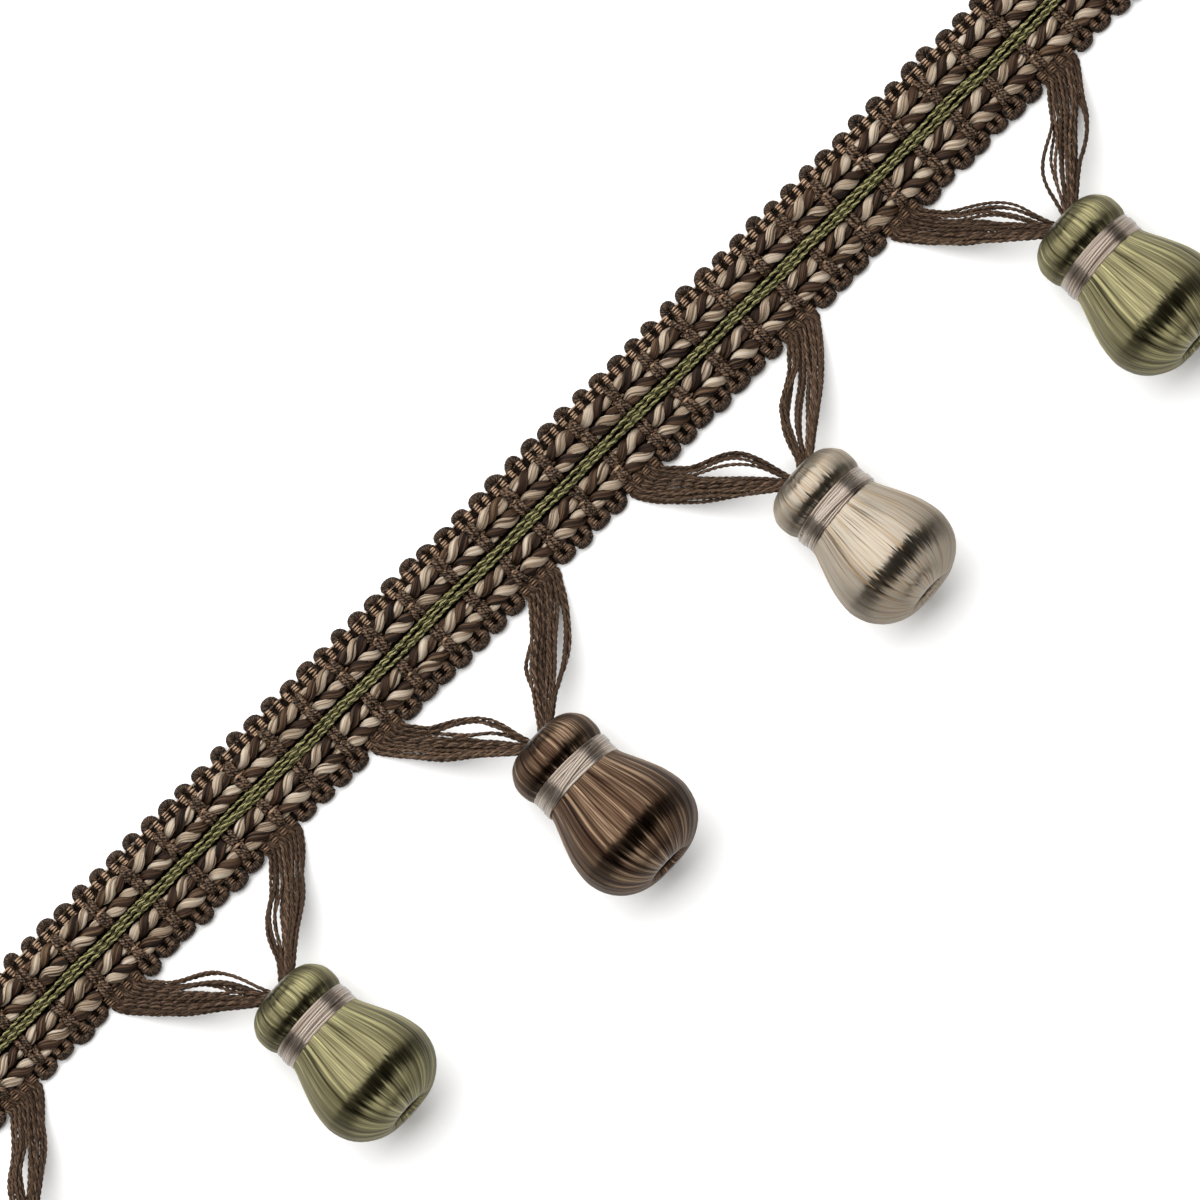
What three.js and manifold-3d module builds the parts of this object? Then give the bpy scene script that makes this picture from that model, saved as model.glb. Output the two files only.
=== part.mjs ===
// A beaded fringe: a cut length of upholstery trimming, lying face up and flat on a surface.
// A woven gimp heading runs along X. Four thick twisted cords and a green centre cord lie along its
// face, and its weft turns back on itself at both edges in a row of picot loops. Five drops hang
// from the front edge towards -Y. Each is a turned mould wound with floss, bound round its waist,
// and carried by two skeins of yarn that meet in the hole at its top.
// Millimetres, +Z up. The origin is the middle of the heading's back.
import * as THREE from "three";
import Module from "manifold-3d";
import { mergeVertices } from "three/addons/utils/BufferGeometryUtils.js";

const wasm = await Module();
wasm.setup();

// Driving dimensions of the repeat
const PICOT_PITCH = 4.56;
const PICOTS_PER_DROP = 15;
const HEADING_PICOTS = 79;
const DROP_PITCH = PICOT_PITCH * PICOTS_PER_DROP;
const HEADING_LENGTH = PICOT_PITCH * HEADING_PICOTS;
const SHORTEST_STEP = 0.1;

// The heading's outline: picots reach from the foot to the tip, but not where a skein leaves
const PICOT_FOOT_Y = 9.3;
const PICOT_TIP_Y = 11.2;
const EDGE_THICKNESS = 1.5;
const SKEIN_ROOT_PICOTS = 2;
const SKEIN_ROOT_X = 4.5 * PICOT_PITCH;

// Columns of the heading's surface between two ties, which are two picots apart. `at` is in picots
// from the tie, `edge` is the outline there, `swell` is how far the cords have risen from the low
// of the tie to their high, and `lean` is the way that their crests slant.
const PICOTS_PER_TIE = 2;
const COLUMNS = [
  { at: -0.215, edge: PICOT_TIP_Y, swell: 0, lean: 0 },
  { at: 0.215, edge: PICOT_TIP_Y, swell: 0, lean: 0 },
  { at: 0.5, edge: PICOT_FOOT_Y, swell: 0.85, lean: -1 },
  { at: 0.785, edge: PICOT_TIP_Y, swell: 1, lean: -0.5 },
  { at: 1.215, edge: PICOT_TIP_Y, swell: 1, lean: 0.5 },
  { at: 1.5, edge: PICOT_FOOT_Y, swell: 0.85, lean: 1 },
];
const FACE_PROFILE = [
  { y: 1.6, low: 1.9, high: 1.9, slant: 0 },
  { y: 2.9, low: 2.4, high: 3.2, slant: -0.35 },
  { y: 4.55, low: 1.9, high: 1.9, slant: 0 },
  { y: 6.2, low: 2.4, high: 3.2, slant: 0.35 },
  { y: 7.8, low: 1.7, high: 1.7, slant: 0 },
];

// The centre cord's section, a flat pair of ridges that lies in the middle of the face
const CENTRE_BED_Z = 2.2;
const CENTRE_SECTION = [
  { y: -1.25, rise: 0 },
  { y: -1.1, rise: 0.65 },
  { y: -0.6, rise: 0.95 },
  { y: 0, rise: 0.65 },
  { y: 0.6, rise: 0.95 },
  { y: 1.1, rise: 0.65 },
  { y: 1.25, rise: 0 },
];
const CENTRE_WAVE = 0.12;

// A drop's outline: s runs down its axis from the top, and r is the radius. The hole at each end
// is blind, and the waist is drawn in under its binding.
const DROP_OUTLINE = [
  { s: 3.4, r: 0 },
  { s: 3.4, r: 4.6 },
  { s: 0.6, r: 5.0 },
  { s: 0.05, r: 5.7 },
  { s: 0.5, r: 6.9 },
  { s: 1.4, r: 8.1 },
  { s: 3.2, r: 9.3 },
  { s: 5.0, r: 9.6 },
  { s: 7.2, r: 9.3 },
  { s: 7.6, r: 8.1 },
  { s: 12.8, r: 8.1 },
  { s: 13.2, r: 9.15 },
  { s: 17.4, r: 10.95 },
  { s: 21.0, r: 12.3 },
  { s: 24.4, r: 12.95 },
  { s: 26.6, r: 12.9 },
  { s: 29.2, r: 12.15 },
  { s: 31.4, r: 10.7 },
  { s: 33.0, r: 8.7 },
  { s: 34.0, r: 6.5 },
  { s: 34.4, r: 4.6 },
  { s: 33.8, r: 2.9 },
  { s: 32.2, r: 0 },
];
const DROP_SIDES = 16;
const DROP_TOP_Y = -29.6;
const NECK = { s: 3.8, r: 9.5 };
const BELL = { s: 24.4, r: 12.95 };
const FLAT_SPOT_DEPTH = 0.12;
const CUTTER_LENGTH = 120;
const CUTTER_DEPTH = 10;

// The binding, a band of floss wound round the waist
const BINDING_OUTLINE = [
  { s: 8.0, r: 8.4 },
  { s: 8.0, r: 8.9 },
  { s: 10.2, r: 9.1 },
  { s: 12.4, r: 8.9 },
  { s: 12.4, r: 8.4 },
];

// A skein: strands side by side in two layers, from a strip at the heading's edge into the hole of
// the drop. Each strand's line lies between an outer and an inner curve of four control points,
// with x out from the drop's middle and y from the strip towards the drop.
const STRANDS = 8;
const STRAND_ROOT_WIDTH = 1.1;
const STRAND_TIP_WIDTH = 0.55;
const STRAND_STEPS = 6;
const STRAND_SECTION = [
  { beside: 0, above: 0.36 },
  { beside: 0.5, above: -0.24 },
  { beside: -0.5, above: -0.24 },
];
const SKEIN_OUTER = [
  { x: 24.4, y: 0 },
  { x: 21.8, y: 7.0 },
  { x: 11.0, y: 14.0 },
  { x: 3.9, y: 18.8 },
];
const SKEIN_INNER = [
  { x: 16.6, y: 0 },
  { x: 11.2, y: 5.5 },
  { x: 5.2, y: 11.6 },
  { x: 0.9, y: 18.8 },
];
const STRIP_INNER_Y = -9.6;
const STRIP_OUTER_Y = -11.2;
const STRIP_THICKNESS = 1.8;
const STRAND_ROOT_Y = -10.8;
const LAYER_STEP = 0.45;
const TIP_LAYER_STEP = 0.9;
const STRAND_TIP_S = 2.4;
const STRAND_RISE_POWER = 1.5;

// The drops from -X to +X. None hangs quite true: `aside` is along X from its place in the repeat,
// `out` is along Y, and `turn` is how many degrees its bell has swung towards +X. Its two skeins
// part: slit_at is the place of the gap between the outer strand, 0, and the inner one, 1, and slit
// is how wide it opens.
const DROPS = [
  {
    floss: "cream",
    aside: 0.3,
    out: 0.2,
    turn: 2.4,
    left: { slit_at: 0.7, slit: 0.2 },
    right: { slit_at: 0.45, slit: 0.3 },
  },
  {
    floss: "green",
    aside: -0.3,
    out: 0.6,
    turn: 3.3,
    left: { slit_at: 0.75, slit: 0.25 },
    right: { slit_at: 0.7, slit: 0.25 },
  },
  {
    floss: "brown",
    aside: -0.95,
    out: -0.4,
    turn: 1.9,
    left: { slit_at: 0.75, slit: 0.35 },
    right: { slit_at: 0.25, slit: 0.3 },
  },
  {
    floss: "cream",
    aside: 0,
    out: 0.6,
    turn: 3.7,
    left: { slit_at: 0.75, slit: 0.45 },
    right: { slit_at: 0.4, slit: 0.4 },
  },
  {
    floss: "green",
    aside: 0.25,
    out: -0.8,
    turn: 3.3,
    left: { slit_at: 0.75, slit: 0.3 },
    right: { slit_at: 0.8, slit: 0.4 },
  },
];

const material = (color, roughness) => new THREE.MeshStandardMaterial({ color, roughness, metalness: 0 });
const YARN_BROWN = material(0x4a3a2e, 0.85);
const CORD_GREEN = material(0x6d7a45, 0.7);
const BINDING_TAUPE = material(0xa3948a, 0.4);
const FLOSS = {
  cream: material(0xd9cfc0, 0.4),
  green: material(0x989a68, 0.4),
  brown: material(0x6a5848, 0.4),
};

// A closed geometry as a solid for joining and cutting
function solidOf(geometry) {
  const bare = geometry.clone();
  bare.deleteAttribute("normal");
  bare.deleteAttribute("uv");
  const merged = mergeVertices(bare, 1e-4);
  return new wasm.Manifold(
    new wasm.Mesh({
      numProp: 3,
      vertProperties: new Float32Array(merged.attributes.position.array),
      triVerts: new Uint32Array(merged.index.array),
    }),
  );
}

function geometryOf(solid) {
  const mesh = solid.getMesh();
  const geometry = new THREE.BufferGeometry();
  geometry.setAttribute("position", new THREE.BufferAttribute(new Float32Array(mesh.vertProperties), 3));
  geometry.setIndex(new THREE.BufferAttribute(new Uint32Array(mesh.triVerts), 1));
  geometry.computeVertexNormals();
  return geometry;
}

function meshOf(name, geometry, finish) {
  const mesh = new THREE.Mesh(geometry, finish);
  mesh.name = name;
  return mesh;
}

// The faces that close a section, in the section's own turn
function capFaces(section) {
  if (section.length === 3) {
    return [[0, 1, 2]];
  }
  const outline = section.map((p) => new THREE.Vector2(p.y, p.z));
  const faces = THREE.ShapeUtils.triangulateShape(outline, []);
  return THREE.ShapeUtils.area(outline) < 0 ? faces.map((face) => face.reverse()) : faces;
}

// A closed tube of sections: every section is a list of as many points, in the same turn
function skin(sections) {
  const sides = sections[0].length;
  const positions = sections.flat().flatMap((p) => [p.x, p.y, p.z]);
  const at = (section, side) => section * sides + (side % sides);
  const last = sections.length - 1;
  const faces = [];
  for (let k = 0; k < last; k++) {
    for (let i = 0; i < sides; i++) {
      faces.push(at(k, i), at(k, i + 1), at(k + 1, i + 1));
      faces.push(at(k, i), at(k + 1, i + 1), at(k + 1, i));
    }
  }
  capFaces(sections[0]).forEach(([a, b, c]) => {
    faces.push(at(0, a), at(0, c), at(0, b));
  });
  capFaces(sections[last]).forEach(([a, b, c]) => {
    faces.push(at(last, a), at(last, b), at(last, c));
  });
  const geometry = new THREE.BufferGeometry();
  geometry.setAttribute("position", new THREE.Float32BufferAttribute(positions, 3));
  geometry.setIndex(faces);
  geometry.computeVertexNormals();
  return geometry;
}

function dropX(drop) {
  return (drop - (DROPS.length - 1) / 2) * DROP_PITCH;
}

function dropTurn(drop) {
  return THREE.MathUtils.degToRad(DROPS[drop].turn);
}

// The front edge, towards -Y, has no picots where a skein leaves it
function frontEdge(x, edge) {
  const nearestDrop = dropX(Math.round(x / DROP_PITCH + (DROPS.length - 1) / 2));
  const fromRoot = Math.abs(Math.abs(x - nearestDrop) - SKEIN_ROOT_X);
  return fromRoot < (SKEIN_ROOT_PICOTS * PICOT_PITCH) / 2 ? PICOT_FOOT_Y : edge;
}

// One section across the heading, from its back round its front edge and over its face
function headingSection(x, column) {
  const half = FACE_PROFILE.map((row) => ({
    y: row.y + row.slant * column.lean,
    z: THREE.MathUtils.lerp(row.low, row.high, column.swell),
  }));
  const front = -frontEdge(x, column.edge);
  const across = [
    { y: column.edge, z: 0 },
    { y: front, z: 0 },
    { y: front, z: EDGE_THICKNESS },
    ...half.map((p) => ({ y: -p.y, z: p.z })).reverse(),
    ...half,
    { y: column.edge, z: EDGE_THICKNESS },
  ];
  return across.map((p) => new THREE.Vector3(x, p.y, p.z)).reverse();
}

function makeHeading() {
  const end = HEADING_LENGTH / 2;
  const ties = Math.ceil(HEADING_PICOTS / PICOTS_PER_TIE / 2);
  const sections = [headingSection(-end, COLUMNS[2])];
  for (let tie = -ties; tie <= ties; tie++) {
    COLUMNS.forEach((column) => {
      const x = (tie * PICOTS_PER_TIE + column.at) * PICOT_PITCH;
      if (Math.abs(x) < end - SHORTEST_STEP) {
        sections.push(headingSection(x, column));
      }
    });
  }
  sections.push(headingSection(end, COLUMNS[5]));
  return meshOf("heading", skin(sections), YARN_BROWN);
}

function makeCentreCord() {
  const steps = Math.floor(HEADING_PICOTS / PICOTS_PER_TIE);
  const sections = Array.from({ length: steps + 1 }, (_, step) => {
    const x = (step / steps - 0.5) * HEADING_LENGTH;
    const wave = CENTRE_WAVE * (step % 2 ? 1 : -1);
    const lift = (p) => (p.rise > 0 ? wave * Math.sign(p.y) : 0);
    return CENTRE_SECTION.map((p) => new THREE.Vector3(x, p.y, CENTRE_BED_Z + p.rise + lift(p))).reverse();
  });
  return meshOf("centre_cord", skin(sections), CORD_GREEN);
}

// A drop lies on its neck and on its bell, so its axis rises towards the bell
const TILT = Math.atan((BELL.r - NECK.r) / (BELL.s - NECK.s));
const AXIS_TOP_Z = NECK.r * Math.cos(TILT) - NECK.s * Math.sin(TILT) - FLAT_SPOT_DEPTH;

// A point of a drop: across its width, down its axis and off its axis
function onDrop(drop, across, s, off) {
  const { aside, out } = DROPS[drop];
  const y = -s * Math.cos(TILT) + off * Math.sin(TILT);
  const z = AXIS_TOP_Z + s * Math.sin(TILT) + off * Math.cos(TILT);
  const point = new THREE.Vector3(across, y, z).applyAxisAngle(new THREE.Vector3(0, 0, 1), dropTurn(drop));
  return point.add(new THREE.Vector3(dropX(drop) + aside, DROP_TOP_Y + out, 0));
}

// A turned form on a drop's axis
function turned(outline, drop, closed) {
  const profile = outline.map((p) => new THREE.Vector2(p.r, p.s));
  if (closed) {
    profile.push(profile[0].clone());
  }
  const frame = new THREE.Matrix4().makeBasis(
    new THREE.Vector3(1, 0, 0),
    new THREE.Vector3(0, -Math.cos(TILT), Math.sin(TILT)),
    new THREE.Vector3(0, -Math.sin(TILT), -Math.cos(TILT)),
  );
  frame.premultiply(new THREE.Matrix4().makeRotationZ(dropTurn(drop)));
  frame.setPosition(onDrop(drop, 0, 0, 0));
  return new THREE.LatheGeometry(profile, DROP_SIDES).applyMatrix4(frame);
}

function makeDrop(drop) {
  const form = solidOf(turned(DROP_OUTLINE, drop, false));
  const below = new THREE.BoxGeometry(DROP_PITCH, CUTTER_LENGTH, CUTTER_DEPTH);
  below.translate(dropX(drop), DROP_TOP_Y, -CUTTER_DEPTH / 2);
  const whole = form.subtract(solidOf(below));
  return meshOf(`drop_${drop + 1}`, geometryOf(whole), FLOSS[DROPS[drop].floss]);
}

function makeBinding(drop) {
  return meshOf(`binding_${drop + 1}`, turned(BINDING_OUTLINE, drop, true), BINDING_TAUPE);
}

// Moves a strand away from the slit, most at the middle of its length
function openSlit(u, skein, t) {
  const away = u < skein.slit_at ? -1 : 1;
  return u + (away * skein.slit * Math.sin(Math.PI * t)) / 2;
}

function bezier(controls, t, axis) {
  const [a, b, c, d] = controls.map((p) => p[axis]);
  const w = 1 - t;
  return w * w * w * a + 3 * w * w * t * b + 3 * w * t * t * c + t * t * t * d;
}

function strandPoint(drop, side, u, layer, t) {
  const { aside, out } = DROPS[drop];
  const skein = DROPS[drop][side < 0 ? "left" : "right"];
  const share = openSlit(u, skein, t);
  const across = THREE.MathUtils.lerp(bezier(SKEIN_OUTER, t, "x"), bezier(SKEIN_INNER, t, "x"), share);
  const down = THREE.MathUtils.lerp(bezier(SKEIN_OUTER, t, "y"), bezier(SKEIN_INNER, t, "y"), share);
  const z = THREE.MathUtils.lerp(STRIP_THICKNESS / 2, AXIS_TOP_Z, t ** STRAND_RISE_POWER);
  const spread = LAYER_STEP * (1 + t);
  const x = dropX(drop) + aside * t + side * across;
  return new THREE.Vector3(x, STRAND_ROOT_Y - down + out * t, z + layer * spread);
}

// A three-sided strand along its points, which narrows from its root to its tip
function strand(points) {
  const sections = points.map((p, i) => {
    const ahead = points[Math.min(i + 1, points.length - 1)];
    const behind = points[Math.max(i - 1, 0)];
    const along = ahead.clone().sub(behind).normalize();
    const beside = new THREE.Vector3().crossVectors(along, new THREE.Vector3(0, 0, 1)).normalize();
    const above = new THREE.Vector3().crossVectors(beside, along);
    const width = THREE.MathUtils.lerp(STRAND_ROOT_WIDTH, STRAND_TIP_WIDTH, i / (points.length - 1));
    return STRAND_SECTION.map((corner) =>
      p
        .clone()
        .addScaledVector(beside, corner.beside * width)
        .addScaledVector(above, corner.above * width),
    );
  });
  return skin(sections);
}

function makeSkein(drop, side) {
  const width = SKEIN_ROOT_PICOTS * PICOT_PITCH;
  const strip = new THREE.BoxGeometry(width, STRIP_INNER_Y - STRIP_OUTER_Y, STRIP_THICKNESS);
  const stripX = dropX(drop) + side * SKEIN_ROOT_X;
  strip.translate(stripX, (STRIP_INNER_Y + STRIP_OUTER_Y) / 2, STRIP_THICKNESS / 2);
  let whole = solidOf(strip);
  for (let i = 0; i < STRANDS; i++) {
    const u = i / (STRANDS - 1);
    const layer = i % 2 ? -1 : 1;
    const points = Array.from({ length: STRAND_STEPS + 1 }, (_, k) =>
      strandPoint(drop, side, u, layer, k / STRAND_STEPS),
    );
    const across = THREE.MathUtils.lerp(SKEIN_OUTER[3].x, SKEIN_INNER[3].x, u);
    points.push(onDrop(drop, side * across, STRAND_TIP_S, layer * TIP_LAYER_STEP));
    whole = whole.add(solidOf(strand(points)));
  }
  const name = `skein_${drop + 1}_${side < 0 ? "left" : "right"}`;
  return meshOf(name, geometryOf(whole), YARN_BROWN);
}

const fringe = new THREE.Group();
fringe.add(makeHeading(), makeCentreCord());
DROPS.forEach((_, drop) => {
  fringe.add(makeSkein(drop, -1), makeSkein(drop, 1), makeDrop(drop), makeBinding(drop));
});

export default fringe;
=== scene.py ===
# %% [markdown]
# # Dressing a beaded fringe
# This lesson dresses a cut length of upholstery fringe. A narrow woven heading carries four thick
# twisted cords and a green centre cord. Five drops, turned moulds wound with satin floss, hang from
# it by skeins of yarn. The frame gives the sizes and the places. Everything that looks like yarn is
# laid here, strand by strand, because on a trimming the strands are what the eye reads.

# %% Load the frame
import math
import random

import bmesh
import bpy
import numpy as np
from mathutils import Matrix, Vector, noise


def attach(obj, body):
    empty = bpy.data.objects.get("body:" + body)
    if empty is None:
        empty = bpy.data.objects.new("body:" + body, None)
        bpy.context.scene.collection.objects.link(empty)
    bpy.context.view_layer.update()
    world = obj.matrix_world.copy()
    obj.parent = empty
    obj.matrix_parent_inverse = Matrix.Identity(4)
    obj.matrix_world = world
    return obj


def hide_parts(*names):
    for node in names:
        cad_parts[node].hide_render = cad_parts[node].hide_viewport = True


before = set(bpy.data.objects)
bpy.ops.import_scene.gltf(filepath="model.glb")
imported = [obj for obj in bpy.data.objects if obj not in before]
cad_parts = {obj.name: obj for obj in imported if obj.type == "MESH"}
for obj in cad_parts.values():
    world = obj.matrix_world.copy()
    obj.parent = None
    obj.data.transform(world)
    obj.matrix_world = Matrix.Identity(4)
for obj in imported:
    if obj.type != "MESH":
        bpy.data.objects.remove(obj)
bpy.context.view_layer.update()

# %% [markdown]
# ## Sizes of the repeat
# A trimming is a repeat, so nearly every place in it follows from one pitch: the distance between
# two picots, the small loops where the weft turns round at the edge. Ties come every second picot
# and drops every fifteenth. Sizes are in metres, written as so many millimetres. No two drops hang
# alike, so each has its own shift aside and out in millimetres, turn in degrees, share of the full
# size, and slant in millimetres of the crossing turns of its binding.

# %% Sizes that everything follows
MM = 0.001
PICOT_PITCH = 4.56 * MM
TIE_PITCH = 2 * PICOT_PITCH
DROP_PITCH = 15 * PICOT_PITCH
PICOTS = 79
LENGTH = PICOTS * PICOT_PITCH
HALF = LENGTH / 2
FOOT_Y = 9.3 * MM
SKEIN_ROOT_X = 4.5 * PICOT_PITCH
SKEIN_ROOT_HALF = PICOT_PITCH
DROPS = [
    {"floss": "cream", "aside": 0.3, "out": 0.2, "turn": 2.4, "size": 0.98, "cross": 0.4},
    {"floss": "green", "aside": 0.2, "out": 0.4, "turn": 3.3, "size": 0.98, "cross": 0.25},
    {"floss": "brown", "aside": -0.75, "out": -0.4, "turn": 1.9, "size": 1.0, "cross": 1.0},
    {"floss": "cream", "aside": 0.0, "out": 0.5, "turn": 3.7, "size": 0.975, "cross": -0.6},
    {"floss": "green", "aside": -0.1, "out": -0.8, "turn": 3.3, "size": 1.0, "cross": 0.3},
]
drop_x = [(index - (len(DROPS) - 1) / 2) * DROP_PITCH for index in range(len(DROPS))]
TIES_EACH_WAY = PICOTS // 4
tie_x = [index * TIE_PITCH for index in range(-TIES_EACH_WAY, TIES_EACH_WAY + 1)]
print("length", round(LENGTH / MM, 1), "mm,", len(tie_x), "ties")
print("drops at", [round(x / MM, 1) for x in drop_x], "mm")

# %% [markdown]
# ## Camera and light
# The fringe is seen from straight above and runs up to the right. So the camera looks down, rolled
# by the angle of the heading, with a long lens that keeps the repeat even. Satin floss shows light
# only where its threads lie square to the way between lamp and eye. A wide soft lamp leans over the
# heading's far side and a narrower, weaker one over the drops. The dark gap between them, a little
# in front of overhead, draws the dark bands on the drops.

# %% Camera
HEADING_ANGLE = math.radians(44.774)
VIEW_CENTRE = Vector((25.9, -19.8, 0)) * MM
VIEW_WIDTH = 225 * MM
CAMERA_HEIGHT = 2.2
CAMERA_REACH = 10
SENSOR = 36.0

camera_data = bpy.data.cameras.new("camera")
camera_data.sensor_width = SENSOR
camera_data.lens = SENSOR * CAMERA_HEIGHT / VIEW_WIDTH
camera_data.clip_end = CAMERA_REACH
camera = bpy.data.objects.new("camera", camera_data)
camera.location = VIEW_CENTRE + Vector((0, 0, CAMERA_HEIGHT))
camera.rotation_euler = (0, 0, -HEADING_ANGLE)
bpy.context.scene.collection.objects.link(camera)
bpy.context.scene.camera = camera
print("lens", round(camera_data.lens), "mm")

# %% Light
LAMP_DISTANCE = 1.0
LAMP_LONG = 2.4
LAMPS = [
    {"name": "lamp_behind", "tilt": 42, "wide": 1.32, "power": 42},
    {"name": "lamp_in_front", "tilt": -59, "wide": 0.7, "power": 9.5},
]
ROOM_COLOUR = (1, 0.87, 0.74, 1)
ROOM_STRENGTH = 0.025


def soft_lamp(name, tilt, wide, power):
    """A soft rectangle of light, leaning by tilt from overhead towards the heading's far side."""
    data = bpy.data.lights.new(name, "AREA")
    data.shape = "RECTANGLE"
    data.size = LAMP_LONG
    data.size_y = wide
    data.energy = power
    lamp = bpy.data.objects.new(name, data)
    lean = math.radians(tilt)
    place = Vector((0, math.sin(lean), math.cos(lean))) * LAMP_DISTANCE
    lamp.location = place + Vector((VIEW_CENTRE.x, VIEW_CENTRE.y, 0))
    lamp.rotation_euler = (-lean, 0, 0)
    bpy.context.scene.collection.objects.link(lamp)
    return lamp


for row in LAMPS:
    soft_lamp(**row)
world = bpy.data.worlds.new("room")
world.use_nodes = True
room = world.node_tree.nodes["Background"]
room.inputs["Color"].default_value = ROOM_COLOUR
room.inputs["Strength"].default_value = ROOM_STRENGTH
bpy.context.scene.world = world
bpy.context.scene.view_settings.view_transform = "Standard"
print(len(LAMPS), "lamps and a dim room")

# %% [markdown]
# ## Shader sums
# A finish is easier to read when its sums look like sums. A small class wraps a node's output, so
# that plus, minus and times on it add the Math nodes. A second class holds one material and adds
# any other node by its type, its settings and its inputs.

# %% A wire that can be reckoned with
class Wire:
    """One output of a shader node. Signs between wires and numbers add Math nodes."""

    def __init__(self, finish, socket):
        self.finish = finish
        self.socket = socket

    def sum(self, operation, other, reflected=False):
        pair = [other, self] if reflected else [self, other]
        return self.finish.node("ShaderNodeMath", {"operation": operation}, pair)

    def __add__(self, other):
        return self.sum("ADD", other)

    def __radd__(self, other):
        return self.sum("ADD", other, True)

    def __sub__(self, other):
        return self.sum("SUBTRACT", other)

    def __rsub__(self, other):
        return self.sum("SUBTRACT", other, True)

    def __mul__(self, other):
        return self.sum("MULTIPLY", other)

    def __rmul__(self, other):
        return self.sum("MULTIPLY", other, True)

    def sine(self):
        return self.finish.node("ShaderNodeMath", {"operation": "SINE"}, [self])

    def cosine(self):
        return self.finish.node("ShaderNodeMath", {"operation": "COSINE"}, [self])


# %% A finish, and the nodes in it
def shade(red, green, blue):
    """A colour as a screen shows it, from 0 to 255, in the linear light that shaders use."""
    channels = [value / 255 for value in (red, green, blue)]
    linear = [c / 12.92 if c <= 0.04045 else ((c + 0.055) / 1.055) ** 2.4 for c in channels]
    return (*linear, 1.0)


class Finish:
    """One material, with its Principled shader and a way to add nodes."""

    def __init__(self, name, **constants):
        self.material = bpy.data.materials.new(name)
        self.material.use_nodes = True
        self.tree = self.material.node_tree
        self.shader = self.tree.nodes["Principled BSDF"]
        for socket, value in constants.items():
            label = socket.replace("_", " ").title().replace("Ior", "IOR")
            self.shader.inputs[label].default_value = value

    def node(self, kind, settings=None, inputs=(), output=0):
        node = self.tree.nodes.new(kind)
        for setting, value in (settings or {}).items():
            if setting == "stops":
                self.set_stops(node.color_ramp, value)
            else:
                setattr(node, setting, value)
        pairs = inputs.items() if isinstance(inputs, dict) else enumerate(inputs)
        for key, value in pairs:
            self.feed(node.inputs[key], value)
        return Wire(self, node.outputs[output])

    def set_stops(self, ramp, stops):
        while len(ramp.elements) < len(stops):
            ramp.elements.new(1.0)
        for element, (place, colour) in zip(ramp.elements, stops):
            element.position = place
            element.color = colour

    def feed(self, socket, value):
        if isinstance(value, Wire):
            self.tree.links.new(value.socket, socket)
        else:
            socket.default_value = value

    def colour_by(self, factor, stops):
        """Colours the surface by a factor, with a stop for each colour."""
        colour = self.node("ShaderNodeValToRGB", {"stops": stops}, [factor])
        self.feed(self.shader.inputs["Base Color"], colour)

    def noise(self, vector, scale, detail=2.0, roughness=0.5):
        inputs = {"Vector": vector, "Scale": scale, "Detail": detail, "Roughness": roughness}
        return self.node("ShaderNodeTexNoise", {}, inputs)

    def along_and_round(self):
        """The place on a strand: millimetres along it, and the share of the way round it."""
        uv = self.node("ShaderNodeUVMap", {"uv_map": "UVMap"})
        return [self.node("ShaderNodeSeparateXYZ", {}, [uv], output=axis) for axis in (0, 1)]

    def attribute(self, name):
        return self.node("ShaderNodeAttribute", {"attribute_name": name}, output=2)

    def vector(self, x, y, z):
        return self.node("ShaderNodeCombineXYZ", {}, [x, y, z])

    def wrapped(self, along, round_share, girth, stretch, shift=0.0):
        """A place on a tube for noise that closes round it and is stretched along it."""
        turn = round_share * math.tau
        return self.vector(turn.cosine() * girth, turn.sine() * girth, along * stretch + shift)

    def bump(self, height, strength, distance):
        inputs = {"Height": height, "Strength": strength, "Distance": distance}
        self.feed(self.shader.inputs["Normal"], self.node("ShaderNodeBump", {}, inputs))

    def grain_along(self):
        """Ties the gloss to the run of the strand. Threads smear a light across themselves."""
        tangent = self.node("ShaderNodeTangent", {"direction_type": "UV_MAP", "uv_map": "UVMap"})
        self.feed(self.shader.inputs["Tangent"], tangent)
        return tangent

    def vector_sum(self, operation, inputs):
        return self.node("ShaderNodeVectorMath", {"operation": operation}, inputs)

    def tip(self, along, share):
        """Tips the surface along its strands by a share, as threads that rise and dip."""
        normal = self.node("ShaderNodeNewGeometry", output=1)
        leaning = self.vector_sum("ADD", [normal, self.vector_sum("SCALE", {0: along, 3: share})])
        self.feed(self.shader.inputs["Normal"], self.vector_sum("NORMALIZE", [leaning]))


# %% [markdown]
# ## Floor
# The fringe lies on a plain pale surface. One flat face is enough.

# %% Floor
FLOOR_HALF = 1.5
PAPER = shade(248, 248, 247)


def lay_floor():
    data = bpy.data.meshes.new("floor")
    bm = bmesh.new()
    bmesh.ops.create_grid(bm, x_segments=1, y_segments=1, size=FLOOR_HALF)
    bm.to_mesh(data)
    bm.free()
    floor = bpy.data.objects.new("floor", data)
    finish = Finish("paper", base_color=PAPER, roughness=0.9)
    data.materials.append(finish.material)
    bpy.context.scene.collection.objects.link(floor)
    print("floor", 2 * FLOOR_HALF, "m across")


lay_floor()

# %% [markdown]
# ## Strands
# Cords, yarns, threads and plies are all one shape at many sizes: a round strand on its own line.
# A curve with a round bevel makes it, and gives it a UV map whose U runs along the line. Many
# strands are joined in one mesh. Each keeps a number of its own, its lot, which its finish reads to
# make no two strands alike.

# %% One strand and a bundle of them
WELD = 1e-8


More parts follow.
